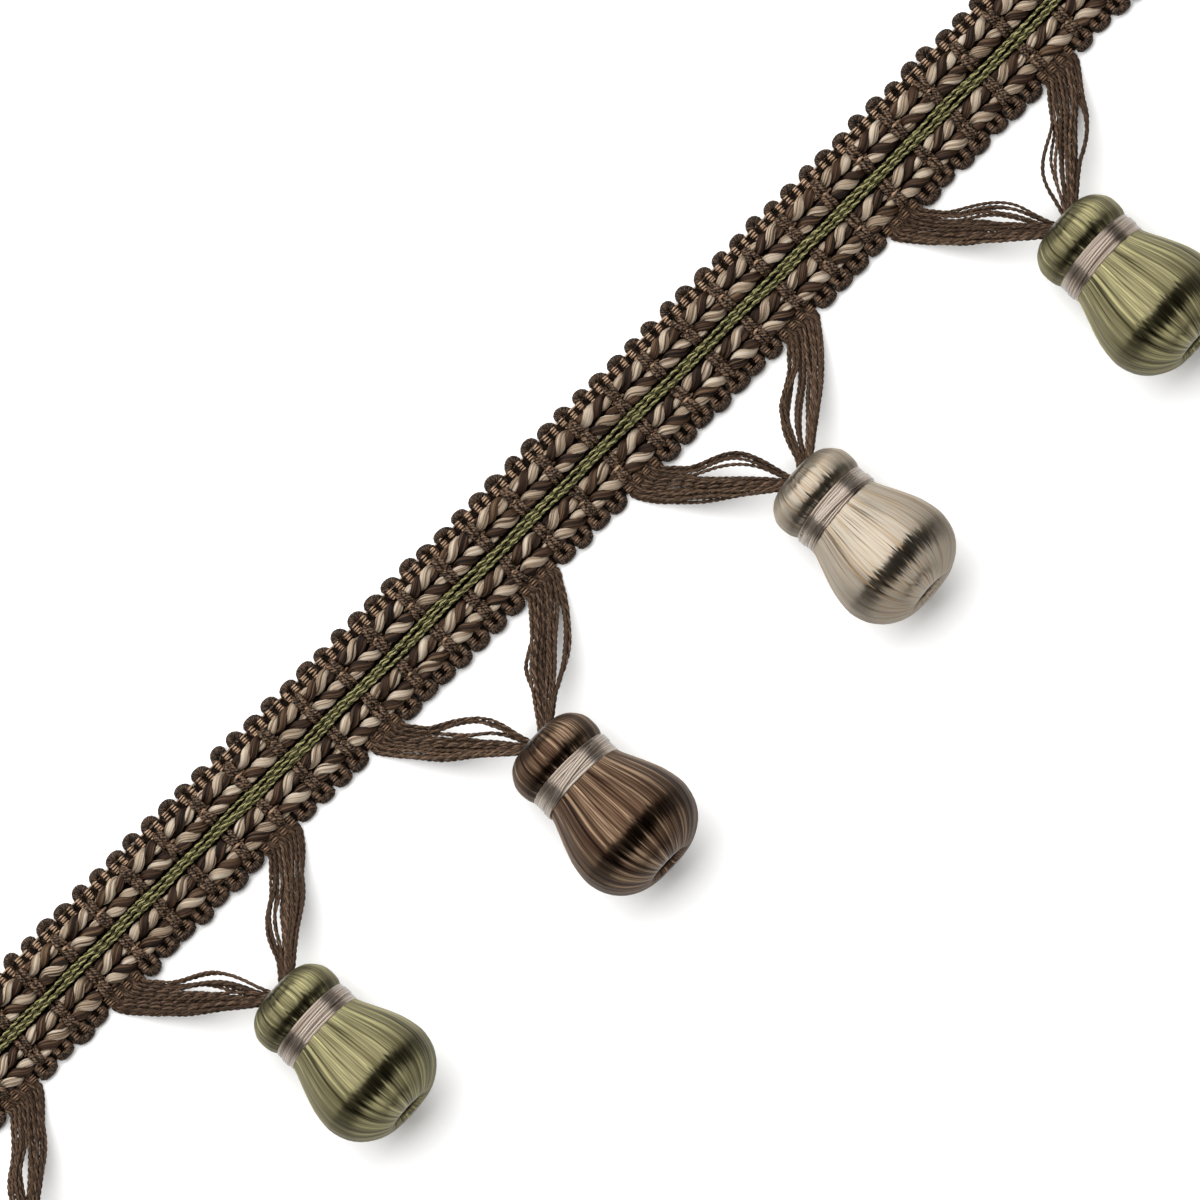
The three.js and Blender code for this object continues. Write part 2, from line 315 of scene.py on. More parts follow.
def strand_mesh(points, radius, sides, swell):
    """A capped strand on its points. swell gives its girth at each point, as a share of radius."""
    curve = bpy.data.curves.new("strand", "CURVE")
    curve.dimensions = "3D"
    curve.bevel_depth = radius
    curve.bevel_resolution = (sides - 4) // 2
    curve.use_fill_caps = True
    line = curve.splines.new("POLY")
    line.points.add(len(points) - 1)
    line.points.foreach_set("co", np.column_stack([points, np.ones(len(points))]).ravel())
    if swell is not None:
        line.points.foreach_set("radius", np.asarray(swell, dtype=float))
    holder = bpy.data.objects.new("strand", curve)
    mesh = bpy.data.meshes.new_from_object(holder)
    bpy.data.objects.remove(holder)
    bpy.data.curves.remove(curve)
    return mesh


def between(before, start, end, after, t):
    """The point at share t between start and end, on a smooth curve through all four."""
    bend = (2 * before - 5 * start + 4 * end - after) * t * t
    turn = (3 * start - before - 3 * end + after) * t * t * t
    return 0.5 * (2 * start + (end - before) * t + bend + turn)


class Bundle:
    """Strands of one piece, joined in one mesh."""

    def __init__(self):
        self.bm = bmesh.new()
        self.strands = 0

    def lay(self, points, radius, lot, sides=6, swell=None, mould=None):
        points = np.asarray(points, dtype=float)
        mesh = strand_mesh(points, radius, sides, swell)
        length = np.linalg.norm(np.diff(points, axis=0), axis=1).sum() / MM
        uv = np.empty(2 * len(mesh.loops))
        mesh.uv_layers[0].data.foreach_get("uv", uv)
        uv[0::2] *= length
        mesh.uv_layers[0].data.foreach_set("uv", uv)
        if mould:
            places = np.empty(3 * len(mesh.vertices))
            mesh.vertices.foreach_get("co", places)
            mesh.vertices.foreach_set("co", mould(places.reshape(-1, 3)).ravel())
        lots = mesh.attributes.new("lot", "FLOAT", "POINT")
        lots.data.foreach_set("value", np.full(len(mesh.vertices), lot))
        self.bm.from_mesh(mesh)
        bpy.data.meshes.remove(mesh)
        self.strands += 1

    def piece(self, name, finish, slot, replaces=()):
        bmesh.ops.remove_doubles(self.bm, verts=self.bm.verts, dist=WELD)
        return make_piece(name, self.bm, finish, replaces)


def make_piece(name, bm, finish, replaces=()):
    """Turns a finished bmesh into a piece that rides on the fringe."""
    mesh = bpy.data.meshes.new(name)
    bm.to_mesh(mesh)
    bm.free()
    mesh.polygons.foreach_set("use_smooth", [True] * len(mesh.polygons))
    mesh.materials.append(finish.material)
    piece = bpy.data.objects.new(name, mesh)
    bpy.context.scene.collection.objects.link(piece)
    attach(piece, "root")
    if replaces:
        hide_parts(*replaces)
    triangles = sum(len(polygon.vertices) - 2 for polygon in mesh.polygons)
    print(name, triangles, "triangles")
    return piece


def dice(*words):
    """A source of chance that gives the same throws for the same words, on every run."""
    return random.Random("/".join(str(word) for word in words))


# %% [markdown]
# ## Finishes of the yarns
# Gimp is a core wound round with fine thread, so it shows close ribs across its length. Its colour
# is painted lighter on the crown of each rib and darker in the groove between two, as painted light
# and shade. The plied yarns are matt, and their twist does the work. Both read the UV map of their
# strand, so that the pattern follows it round every bend, and a noise on that map mottles the colour.

# %% Gimp
MATT_SHINE = 0.15
GIMP_RIB = 0.6
GIMP_WAVER = 0.5
RIB_SHADE_TONE, MOTTLE_TONE, TONE_DOWN = 0.55, 3.0, 1.4
RIB_RELIEF = 0.12 * MM


def gimp_finish(name, dark, light, slant):
    """A cord wound round with thread: ribs across it that slant by so many ribs in a turn."""
    finish = Finish(name, roughness=0.62, specular_ior_level=MATT_SHINE)
    along, round_share = finish.along_and_round()
    lot = finish.attribute("lot")
    waver = finish.noise(finish.wrapped(along, round_share, 0.6, 0.8, lot * 40), 1.6, 2)
    winding = (along + waver * GIMP_WAVER) * (math.tau / GIMP_RIB) + round_share * (math.tau * slant)
    ribs = winding.sine() * 0.5 + 0.5
    mottle = finish.noise(finish.wrapped(along, round_share, 0.8, 1.2, lot * 90), 1.5, 2, 0.6)
    # Painted light and shade: the colour follows the ribs, lighter on their crowns and darker in the
    # grooves between them, over a real mottle.
    rib_shade_and_mottle = ribs * RIB_SHADE_TONE + mottle * MOTTLE_TONE - TONE_DOWN
    finish.colour_by(rib_shade_and_mottle, [(0.1, dark), (0.95, light)])
    finish.bump(ribs, 0.8, RIB_RELIEF)
    return finish


# The ties and the picots are the same gimp weft. The ties' copy is made lighter as painted light,
# since they ride high on the lit crowns of the cords.
gimp = gimp_finish("gimp", shade(4, 3, 1), shade(81, 62, 47), slant=1)
lit_tie_gimp = gimp_finish("lit_tie_gimp", shade(6, 4, 2), shade(109, 86, 67), slant=3)
print("gimp finishes:", gimp.material.name, lit_tie_gimp.material.name)


# %% Warp thread and matt yarns
LOT_TONE, FIBRE_TONE, YARN_TONE_DOWN = 0.6, 1.2, 0.4
FIBRE_RELIEF = 0.04 * MM


def yarn_finish(name, shades):
    """A matt ply whose colour follows its lot, with a little fibre along it."""
    finish = Finish(name, roughness=0.8, specular_ior_level=MATT_SHINE)
    along, round_share = finish.along_and_round()
    lot = finish.attribute("lot")
    fibre = finish.noise(finish.wrapped(along, round_share, 0.5, 0.7, lot * 50), 2.0, 2, 0.6)
    tone = lot * LOT_TONE + fibre * FIBRE_TONE - YARN_TONE_DOWN
    stops = [(index / (len(shades) - 1), colour) for index, colour in enumerate(shades)]
    finish.colour_by(tone, stops)
    finish.bump(fibre, 0.5, FIBRE_RELIEF)
    return finish


warp = yarn_finish("warp_thread", [shade(78, 58, 43), shade(142, 115, 92), shade(197, 168, 140)])
skein_yarn = yarn_finish("skein_yarn", [shade(17, 10, 6), shade(59, 44, 32), shade(112, 90, 73)])
green_yarn = yarn_finish("green_yarn", [shade(11, 11, 5), shade(73, 70, 41), shade(159, 153, 106)])
print("matt finishes:", [finish.material.name for finish in (warp, skein_yarn, green_yarn)])

# %% [markdown]
# ## Satin of the floss
# Floss is untwisted and glossy. Each thread mirrors the lamps along its own run and smears them
# across itself, so its gloss is anisotropic, and the rotation lays the sharp way along the thread.
# A coarse noise streaks the colour and a fine one marks the single fibres. The two also tip each
# thread a little, so the dark band starts on one thread sooner than on the next and its edge frays.

# %% Satin floss
STREAK_TONE, FIBRE_STREAK_TONE = 2.7, 1.2
STREAK_TIP, FIBRE_TIP = 0.6, 1.5
ROUGH_RANGE = 0.2
FIRST_STOP, STOPS_SPAN = 0.08, 0.84
ALONG_THREAD = 0.25


def floss_finish(name, shades, girth, stretch, gloss=0.96, rough=0.16, unruly=0.45):
    """Floss streaked along its threads. girth and stretch scale the streaks round and along it."""
    finish = Finish(name, metallic=gloss, anisotropic=1.0, anisotropic_rotation=ALONG_THREAD,
                    specular_ior_level=0.2)
    along, round_share = finish.along_and_round()
    lot = finish.attribute("lot")
    coarse = finish.wrapped(along, round_share, girth, stretch, lot * 70)
    fine = finish.wrapped(along, round_share, girth * 3, stretch * 2, lot * 30)
    streaks = finish.noise(coarse, 1.0, 3, 0.6)
    fibre = finish.noise(fine, 1.0, 2, 0.6)
    tone = (streaks - 0.5) * STREAK_TONE + (fibre - 0.5) * FIBRE_STREAK_TONE + 0.5
    last = len(shades) - 1
    stops = [(FIRST_STOP + STOPS_SPAN * index / last, colour) for index, colour in enumerate(shades)]
    finish.colour_by(tone, stops)
    finish.feed(finish.shader.inputs["Roughness"], (streaks + fibre) * ROUGH_RANGE + rough)
    waves = (streaks - 0.5) * STREAK_TIP + (fibre - 0.5) * FIBRE_TIP
    finish.tip(finish.grain_along(), waves * unruly)
    return finish


CREAM = [shade(112, 94, 73), shade(128, 118, 105), shade(139, 132, 120), shade(129, 111, 87)]
GREEN = [shade(47, 44, 26), shade(86, 81, 58), shade(102, 97, 72), shade(138, 133, 95)]
BROWN = [shade(25, 14, 10), shade(55, 40, 29), shade(75, 59, 46), shade(126, 106, 86)]
TAUPE = [shade(85, 72, 62), shade(126, 113, 102), shade(148, 137, 126), shade(164, 155, 145)]
PALE_PLY = [shade(57, 43, 31), shade(124, 106, 87), shade(156, 141, 123), shade(179, 167, 151)]
DARK_PLY = [shade(8, 3, 3), shade(34, 22, 13), shade(57, 39, 28), shade(97, 77, 57)]
ON_DROP = {"girth": 15.0, "stretch": 0.03}
ON_PLY = {"girth": 1.6, "stretch": 0.05, "gloss": 0.5, "rough": 0.3, "unruly": 0.3}
ON_BINDING = {"girth": 1.2, "stretch": 0.02, "gloss": 0.95, "rough": 0.12, "unruly": 0.15}
drop_floss = {
    "cream": floss_finish("cream_floss", CREAM, **ON_DROP),
    "green": floss_finish("green_floss", GREEN, **ON_DROP),
    "brown": floss_finish("brown_floss", BROWN, **ON_DROP),
}
cream_ply = floss_finish("cream_ply_floss", PALE_PLY, **ON_PLY)
brown_ply = floss_finish("brown_ply_floss", DARK_PLY, **ON_PLY)
binding_floss = floss_finish("taupe_floss", TAUPE, **ON_BINDING)
print("satin finishes:", len(drop_floss) + 3)

# %% [markdown]
# ## Heading: ground
# The woven ground is a thin band, as wide as the feet of the picots. Weft cords cross it, so it is
# ribbed on both faces. Little of it shows. A grid with its rows raised into ribs, then thickened,
# makes it.

# %% Ribbed ground
GROUND_TOP = 1.0 * MM
GROUND_THICK = 0.8 * MM
RIB_HEIGHT = 0.16 * MM
RIB_PITCH = PICOT_PITCH / 2
STEPS_PER_RIB = 4
GROUND_HALF = FOOT_Y - 0.2 * MM
# The ground is coloured nearly black: painted shade for the deep gaps between the cords and wefts,
# where it shows.
GROUND_DEEP_SHADE, GROUND_SOFT_SHADE = shade(3, 2, 1), shade(26, 18, 13)
GROUND_RELIEF = 0.08 * MM


def make_ground():
    bm = bmesh.new()
    steps = round(LENGTH / RIB_PITCH) * STEPS_PER_RIB
    fit = Matrix.Diagonal((HALF, GROUND_HALF, 1, 1))
    bmesh.ops.create_grid(bm, x_segments=steps, y_segments=8, size=1, matrix=fit, calc_uvs=True)
    for vert in bm.verts:
        fall = 0.5 - 0.5 * math.cos(math.tau * vert.co.x / RIB_PITCH)
        vert.co.z = GROUND_TOP - RIB_HEIGHT * fall
    made = bmesh.ops.solidify(bm, geom=bm.faces[:], thickness=GROUND_THICK)
    bm.normal_update()
    print("ground faces", len(made["geom"]))
    return bm


ground_finish = Finish("ground_weave", roughness=0.9, specular_ior_level=0.05)
ground_place = ground_finish.node("ShaderNodeTexCoord", output=3)
ground_tone = ground_finish.noise(ground_place, 1600.0, 3, 0.7)
ground_finish.colour_by(ground_tone, [(0.3, GROUND_DEEP_SHADE), (0.75, GROUND_SOFT_SHADE)])
ground_finish.bump(ground_tone, 0.5, GROUND_RELIEF)
ground = make_piece("heading_ground", make_ground(), ground_finish, ["heading"])

# %% [markdown]
# ## Heading: picots
# The weft is a gimp cord that turns round at each edge in a small loop, the picot. Each is laid as
# its own bent strand: a leg out from under the cords, a half turn, and a leg back. Hand looms pull
# no two alike, so width, reach and lean vary a little. Along the front edge they are wider and
# flatter and run together. Where a skein leaves that edge its yarns take the place of two picots.

# %% Picot loops
PICOT_CORD = 0.82 * MM
PICOT_LEG_IN = 6.9 * MM
PICOT_LEG_OUT = 9.15 * MM
PICOT_BEND = 1.2 * MM
PICOT_HEIGHT = 0.84 * MM
PICOT_WIDE = (0.82, 1.14)
PICOT_REACH = (-0.4, 0.2)
PICOT_LEAN = 0.5
PICOT_LIFT = (-0.05, 0.3)
PICOT_SQUARE = (0.4, 0.9)
REACH_BY_SIDE = 0.12
FRONT_PICOT_WIDE = 1.2
FRONT_PICOT_SQUARE = 0.6
FRONT_PICOT_REACH = -0.15
BEND_STEPS = 8


def at_skein(x):
    """True where the picot at x would stand in the root of a skein."""
    return any(abs(abs(x - middle) - SKEIN_ROOT_X) < SKEIN_ROOT_HALF for middle in drop_x)


def picot_points(x, side, chance):
    wide = chance.uniform(*PICOT_WIDE)
    reach = (chance.uniform(*PICOT_REACH) + REACH_BY_SIDE * side) * MM
    lean = chance.uniform(-PICOT_LEAN, PICOT_LEAN) * MM
    lift = chance.uniform(*PICOT_LIFT) * MM
    square = chance.uniform(*PICOT_SQUARE)
    if side < 0:
        wide, square = wide * FRONT_PICOT_WIDE, square * FRONT_PICOT_SQUARE
        reach += FRONT_PICOT_REACH * MM
    points = [(x - PICOT_BEND, side * PICOT_LEG_IN, PICOT_HEIGHT)]
    for step in range(BEND_STEPS + 1):
        turn = math.pi * step / BEND_STEPS
        across = -math.cos(turn)
        out = math.sin(turn) ** square
        y = PICOT_LEG_OUT + (PICOT_BEND + reach) * out
        place = x + wide * PICOT_BEND * across + lean * out
        points.append((place, side * y, PICOT_HEIGHT + lift * out))
    points.append((x + PICOT_BEND, side * PICOT_LEG_IN, PICOT_HEIGHT))
    return points


def make_picots():
    loops = Bundle()
    for side in (-1, 1):
        for index in range(PICOTS):
            x = (index - (PICOTS - 1) / 2) * PICOT_PITCH
            if side < 0 and at_skein(x):
                continue
            chance = dice("picot", side, index)
            loops.lay(picot_points(x, side, chance), PICOT_CORD, chance.random(), sides=8)
    print(loops.strands, "picots")
    return loops.piece("picots", gimp, "heading_gimp")


picots = make_picots()

# %% [markdown]
# ## Heading: edge threads
# Four fine warp threads lie side by side along each edge and hold the feet of the picots. They
# ride over every weft cord and dip between two. A thicker one runs in the groove between each pair
# of thick cords and shows only where it climbs over a tie.

# %% Warp threads
EDGE_THREADS = [7.6 * MM, 8.15 * MM, 8.7 * MM, 9.25 * MM]
EDGE_THREAD_RADIUS = 0.18 * MM
EDGE_THREAD_Z = 1.62 * MM
EDGE_THREAD_DIP = 2.0 * MM
EDGE_THREAD_LOW = 0.3 * MM
EDGE_THREAD_SHARP = 1.8
EDGE_THREAD_SWAY = 0.22 * MM
# Painted light and shade: the threads of the back edge (side 1) get light lots and those of the front
# edge (side -1) dark ones, as the front edge lies in the shade of the cords.
EDGE_LOTS_WITH_PAINTED_SHADE = {1: (0.45, 1.0), -1: (-0.3, 0.2)}
GROOVE_Y = 4.55 * MM
GROOVE_THREAD_RADIUS = 0.3 * MM
GROOVE_LOW = 0.45 * MM
GROOVE_RISE = 1.7 * MM
GROOVE_REACH = 1.0 * MM
GROOVE_STEPS = (-0.5, -0.3, -0.14, -0.08, -0.04, 0, 0.04, 0.08, 0.14, 0.3)
STEPS_PER_WEFT = 8


def edge_thread(y):
    steps = round(LENGTH / RIB_PITCH) * STEPS_PER_WEFT
    points = []
    for step in range(steps + 1):
        x = -HALF + LENGTH * step / steps
        over = 0.5 - 0.5 * math.cos(math.tau * x / RIB_PITCH)
        sway = EDGE_THREAD_SWAY * noise.noise(Vector((x / MM * 0.5, y / MM * 9, 0)))
        dip = EDGE_THREAD_DIP * (1 - over) ** EDGE_THREAD_SHARP
        points.append((x, y + sway, max(EDGE_THREAD_Z - dip, EDGE_THREAD_LOW)))
    return points


def groove_thread(y):
    points = []
    for middle in tie_x:
        climb = GROOVE_RISE * dice("groove", round(middle / MM), y).uniform(0.5, 1.0)
        for share in GROOVE_STEPS:
            x = middle + share * TIE_PITCH
            rise = math.exp(-((share * TIE_PITCH / GROOVE_REACH) ** 2))
            points.append((x, y, GROOVE_LOW + climb * rise))
    return points


def make_warp():
    threads = Bundle()
    for side in (-1, 1):
        for index, y in enumerate(EDGE_THREADS):
            lot = dice("edge", side, index).uniform(*EDGE_LOTS_WITH_PAINTED_SHADE[side])
            threads.lay(edge_thread(side * y), EDGE_THREAD_RADIUS, lot, sides=4)
        threads.lay(groove_thread(side * GROOVE_Y), GROOVE_THREAD_RADIUS, 0.5)
    return threads.piece("warp_threads", warp, "heading_gimp")


warp_threads = make_warp()

# %% [markdown]
# ## Heading: the thick cords
# Each thick cord is two plies of floss, cream and brown, twisted together. Cords next to each other
# are twisted opposite ways, and that draws the chevrons. The ties pull every cord in, so it swells
# between them. A ply is a strand on a helix, tighter between two ties than under one. It is then
# moulded: pressed to a flatter crown, drawn in at the ties and laid down on the ground.

# %% Plies of the thick cords
CORD_ROWS = [
    {"y": 6.15 * MM, "lay": 1, "phase": 0.6},
    {"y": 2.95 * MM, "lay": -1, "phase": 2.1},
    {"y": -2.95 * MM, "lay": 1, "phase": 4.0},
    {"y": -6.15 * MM, "lay": -1, "phase": 1.2},
]
CORD_TURN = 6.95 * MM
TWIST_GATHER = 0.6
PLY_OFFSET = 0.8 * MM
PLY_RADIUS = 1.0 * MM
PLY_UNEVEN = 0.22
PLY_DRIFT = 1.1
CORD_RADIUS = PLY_OFFSET + PLY_RADIUS
CORD_FLATTEN = 0.68
CORD_PRESS = 0.14
CORD_BED = 0.7 * MM
CORD_NARROWING = 0.65
TIE_PINCH = 0.55
TIE_REACH = 1.3 * MM
STEPS_PER_TURN = 13


def plump(x):
    """The share of its full size that a cord has at x: drawn in under a tie."""
    from_tie = np.abs((np.asarray(x) / TIE_PITCH + 0.5) % 1 - 0.5) * TIE_PITCH
    return 1 - TIE_PINCH * np.exp(-((from_tie / TIE_REACH) ** 2))


def cord_mould(row):
    """Moves the points of a round helix on the X axis to a pressed, tied cord in its row."""

    def mould(places):
        x, y, z = places.T
        crown = 1 - CORD_PRESS * (np.hypot(y, z) / CORD_RADIUS) ** 3
        size = plump(x)
        height = CORD_BED + CORD_RADIUS * CORD_FLATTEN * (1 - CORD_PRESS) * size
        y = row["y"] + y * crown * (1 - CORD_NARROWING + CORD_NARROWING * size)
        z = height + z * crown * size * CORD_FLATTEN
        return np.column_stack([x, y, z])

    return mould


def ply_points(row, index, half_turn):
    steps = round(LENGTH / CORD_TURN * STEPS_PER_TURN)
    points = []
    for step in range(steps + 1):
        x = -HALF + LENGTH * step / steps
        drift = PLY_DRIFT * noise.noise(Vector((x / MM * 0.045, index * 7.3, 0)))
        turned = math.tau * x / CORD_TURN - TWIST_GATHER * math.sin(math.tau * x / TIE_PITCH)
        turn = row["lay"] * turned + row["phase"] + half_turn + drift
        points.append((x, PLY_OFFSET * math.sin(turn), PLY_OFFSET * math.cos(turn)))
    return points


def make_plies(name, half_turn, finish, slot):
    plies = Bundle()
    for index, row in enumerate(CORD_ROWS):
        lot = dice(name, index).random()
        points = ply_points(row, index, half_turn)
        lumps = [noise.noise(Vector((x / MM * 0.3, lot * 50, 0))) for x, _, _ in points]
        swell = [1 + PLY_UNEVEN * lump for lump in lumps]
        plies.lay(points, PLY_RADIUS, lot, sides=10, swell=swell, mould=cord_mould(row))
    return plies.piece(name, finish, slot)


cream_plies = make_plies("cream_plies", 0.0, cream_ply, "floss_cream")
brown_plies = make_plies("brown_plies", math.pi, brown_ply, "floss_brown")

# %% [markdown]
# ## Heading: ties
# At every second picot two gimp wefts come to the face and cross all four cords, arching over each
# and dipping in the grooves. They are strands on half an ellipse. Each sways and bows by chance, and
# a slow noise pulls neighbours the same way.

# %% Ties over the cords
TIE_CORD = 0.58 * MM
TIE_APART = 0.54 * MM
TIE_HALF_WIDTH = 1.5 * MM
TIE_FOOT_Z = 0.35 * MM
TIE_CROWN_Z = 2.3 * MM
TIE_SWAY = 0.25
TIE_BOW = 0.15
TIE_CROWN_MORE = (-0.2, 0.15)
TIE_PULL = 0.8 * MM
ARCH_STEPS = 10


def tie_points(x, y, chance):
    sway = chance.uniform(-TIE_SWAY, TIE_SWAY) * MM
    bow = chance.uniform(-TIE_BOW, TIE_BOW) * MM
    crown = TIE_CROWN_Z + chance.uniform(*TIE_CROWN_MORE) * MM
    points = []
    for step in range(ARCH_STEPS + 1):
        turn = math.pi * (step / ARCH_STEPS - 0.5)
        points.append((
            x + sway * math.sin(turn) + bow * math.sin(2 * turn),
            y + TIE_HALF_WIDTH * math.sin(turn),
            TIE_FOOT_Z + (crown - TIE_FOOT_Z) * math.cos(turn),
        ))
    return points


def make_ties():
    ties = Bundle()
    for x in tie_x:
        for row in CORD_ROWS:
            for side in (-1, 1):
                chance = dice("tie", round(x / MM), row["y"], side)
                pull = TIE_PULL * noise.noise(Vector((x / MM, row["y"] / MM, 3)))
                place = x + side * TIE_APART + pull
                ties.lay(tie_points(place, row["y"], chance), TIE_CORD, chance.random())
    return ties.piece("ties", lit_tie_gimp, "heading_gimp")


ties = make_ties()

# %% [markdown]
# ## Heading: green centre cord
# Five fine threads, each of two green plies, lie side by side down the middle and turn slowly round
# one another. A ply is a small helix on a slow flat one, and a noise wanders it and shifts its twist.

# %% Green threads
GREEN_THREADS = 5
GREEN_SPREAD = 0.9 * MM
GREEN_WANDER = 0.5 * MM
GREEN_HEIGHT = 0.5 * MM
GREEN_Z = 2.15 * MM
GREEN_CABLE_TURN = 68 * MM
GREEN_PLY_OFFSET = 0.17 * MM
GREEN_PLY_RADIUS = 0.16 * MM
GREEN_PLY_TURN = 2.2 * MM
GREEN_UNEVEN = 2.5
GREEN_PLIES = [{"half_turn": 0.0, "lot": 0.25}, {"half_turn": math.pi, "lot": 0.95}]
GREEN_STEPS = 6


def green_ply(thread, half_turn, chance):
    steps = round(LENGTH / GREEN_PLY_TURN * GREEN_STEPS)
    start = chance.uniform(0, math.tau)
    points = []
    for step in range(steps + 1):
        x = -HALF + LENGTH * step / steps
        slow = math.tau * (x / GREEN_CABLE_TURN + thread / GREEN_THREADS)
        uneven = GREEN_UNEVEN * noise.noise(Vector((x / MM * 0.12, thread * 3.1, 0)))
        quick = -math.tau * x / GREEN_PLY_TURN + start + half_turn + uneven
        wander = GREEN_WANDER * noise.noise(Vector((x / MM * 0.07, thread * 5.3, 0)))
        y = GREEN_SPREAD * math.sin(slow) + wander + GREEN_PLY_OFFSET * math.sin(quick)
        z = GREEN_Z + GREEN_HEIGHT * math.cos(slow) + GREEN_PLY_OFFSET * math.cos(quick)
        points.append((x, y, z))
    return points


def make_green_cord():
    threads = Bundle()
    for thread in range(GREEN_THREADS):
        for ply in GREEN_PLIES:
            points = green_ply(thread, ply["half_turn"], dice("green", thread))
            threads.lay(points, GREEN_PLY_RADIUS, ply["lot"])
    return threads.piece("green_threads", green_yarn, "centre_green", ["centre_cord"])


green_threads = make_green_cord()

# %% [markdown]
# ## Drops
# A drop is a turned wooden mould wound lengthwise with floss, through the hole in its middle. Spun
# round its axis, one outline gives the body, with s down the axis and r out from it. The threads
# bunch as they are wound, so the surface is then fluted: each point moves in or out by a noise that
# changes round the drop and hardly at all along it. Last, the drop is leant to rest on the floor.

# %% Outline of a drop
DROP_OUTLINE = [
    {"s": 4.6, "r": 1.4}, {"s": 3.6, "r": 3.6}, {"s": 1.8, "r": 4.4}, {"s": 0.5, "r": 4.9},
    {"s": 0.03, "r": 5.7}, {"s": 0.45, "r": 6.9}, {"s": 1.4, "r": 8.1}, {"s": 3.2, "r": 9.3},
    {"s": 5.0, "r": 9.6}, {"s": 7.0, "r": 9.4}, {"s": 8.3, "r": 8.8}, {"s": 10.2, "r": 8.5},
    {"s": 12.0, "r": 8.8}, {"s": 13.6, "r": 9.3}, {"s": 17.4, "r": 10.95}, {"s": 21.0, "r": 12.3},
    {"s": 24.4, "r": 12.95}, {"s": 26.6, "r": 12.9}, {"s": 29.2, "r": 12.15}, {"s": 31.4, "r": 10.7},
    {"s": 33.0, "r": 8.8}, {"s": 34.0, "r": 6.9}, {"s": 34.4, "r": 5.4}, {"s": 34.1, "r": 4.3},
    {"s": 33.0, "r": 3.7}, {"s": 30.0, "r": 3.1}, {"s": 27.6, "r": 2.2}, {"s": 27.2, "r": 0.8},
]
ROWS_PER_SPAN = 2
DROP_STEPS = 216
DROP_TOP_Y = -29.6 * MM
NECK = {"s": 3.8, "r": 9.5}
BELL = {"s": 24.4, "r": 12.95}
TILT = math.atan((BELL["r"] - NECK["r"]) / (BELL["s"] - NECK["s"]))
SETTLED = 0.12
AXIS_TOP_Z = (NECK["r"] * math.cos(TILT) - NECK["s"] * math.sin(TILT) - SETTLED) * MM
FLUTE_DEPTH = 0.13 * MM
FLUTE_COUNT = 7.5
FINER_FLUTES = 2.3
FLUTE_CLEAR = 2 * MM
FLOOR_GAP = 0.02 * MM


def smooth_outline(rows):
    """A curve through the rows of an outline, with points between them."""
    knots = [Vector((row["r"], row["s"])) * MM for row in rows]
    points = []
    for index in range(len(knots) - 1):
        before = knots[max(index - 1, 0)]
        start, end = knots[index], knots[index + 1]
        after = knots[min(index + 2, len(knots) - 1)]
        for step in range(ROWS_PER_SPAN):
            points.append(between(before, start, end, after, step / ROWS_PER_SPAN))
    points.append(knots[-1])
    return points


def drop_place(index):
    """Carries a form on the Z axis, with its top at the origin, to its place as a drop."""
    basis = Matrix((
        (1, 0, 0),
        (0, math.sin(TILT), -math.cos(TILT)),
        (0, math.cos(TILT), math.sin(TILT)),
    )).to_4x4()
    drop = DROPS[index]
    x, y = drop_x[index] + drop["aside"] * MM, DROP_TOP_Y + drop["out"] * MM
    top = (x, y, AXIS_TOP_Z * drop["size"])
    turned = Matrix.Rotation(math.radians(drop["turn"]), 4, "Z") @ basis
    return Matrix.Translation(top) @ turned @ Matrix.Scale(drop["size"], 4)


outline = smooth_outline(DROP_OUTLINE)
print("outline of", len(outline), "points, drops lean", round(math.degrees(TILT), 1), "degrees")


# %% Spin and flute a drop
def map_round(bm, run):
    """UV of a spun form: millimetres along its outline, and the share of the way round."""
    layer = bm.loops.layers.uv.new("UVMap")
    for face in bm.faces:
        shares = [math.atan2(loop.vert.co.y, loop.vert.co.x) / math.tau % 1 for loop in face.loops]
        wraps = max(shares) - min(shares) > 0.5
        for loop, share in zip(face.loops, shares):
            share = share + 1 if wraps and share < 0.5 else share
            loop[layer].uv = (loop.vert[run], share)


def flute(bm, seed):
    for vert in bm.verts:
        angle = math.atan2(vert.co.y, vert.co.x)
        radius = math.hypot(vert.co.x, vert.co.y)
        place = Vector((math.cos(angle), math.sin(angle), 0)) * FLUTE_COUNT
        place.z = vert.co.z / MM * 0.03 + seed * 11
        lump = noise.noise(place) + 0.5 * noise.noise(place * FINER_FLUTES)
        grow = 1 + FLUTE_DEPTH * lump / max(radius, FLUTE_CLEAR)
        vert.co.x *= grow
        vert.co.y *= grow


def make_drop(index, colour):
    bm = bmesh.new()
    run = bm.verts.layers.float.new("run")
    chain = [bm.verts.new((point.x, 0, point.y)) for point in outline]
    along = 0.0
    for before, after in zip(chain, chain[1:]):
        bm.edges.new((before, after))
        along += (after.co - before.co).length / MM
        after[run] = along
    bmesh.ops.spin(bm, geom=chain + bm.edges[:], cent=(0, 0, 0), axis=(0, 0, 1),
                   angle=math.tau, steps=DROP_STEPS, use_merge=True)
    map_round(bm, run)
    ends = [edge for edge in bm.edges if edge.is_boundary]
    bmesh.ops.holes_fill(bm, edges=ends, sides=0)
    bmesh.ops.recalc_face_normals(bm, faces=bm.faces)
    flute(bm, index)
    bmesh.ops.transform(bm, matrix=drop_place(index), verts=bm.verts)
    for vert in bm.verts:
        vert.co.z = max(vert.co.z, FLOOR_GAP)
    name = f"drop_{index + 1}"
    return make_piece(f"floss_{name}", bm, drop_floss[colour], [name])


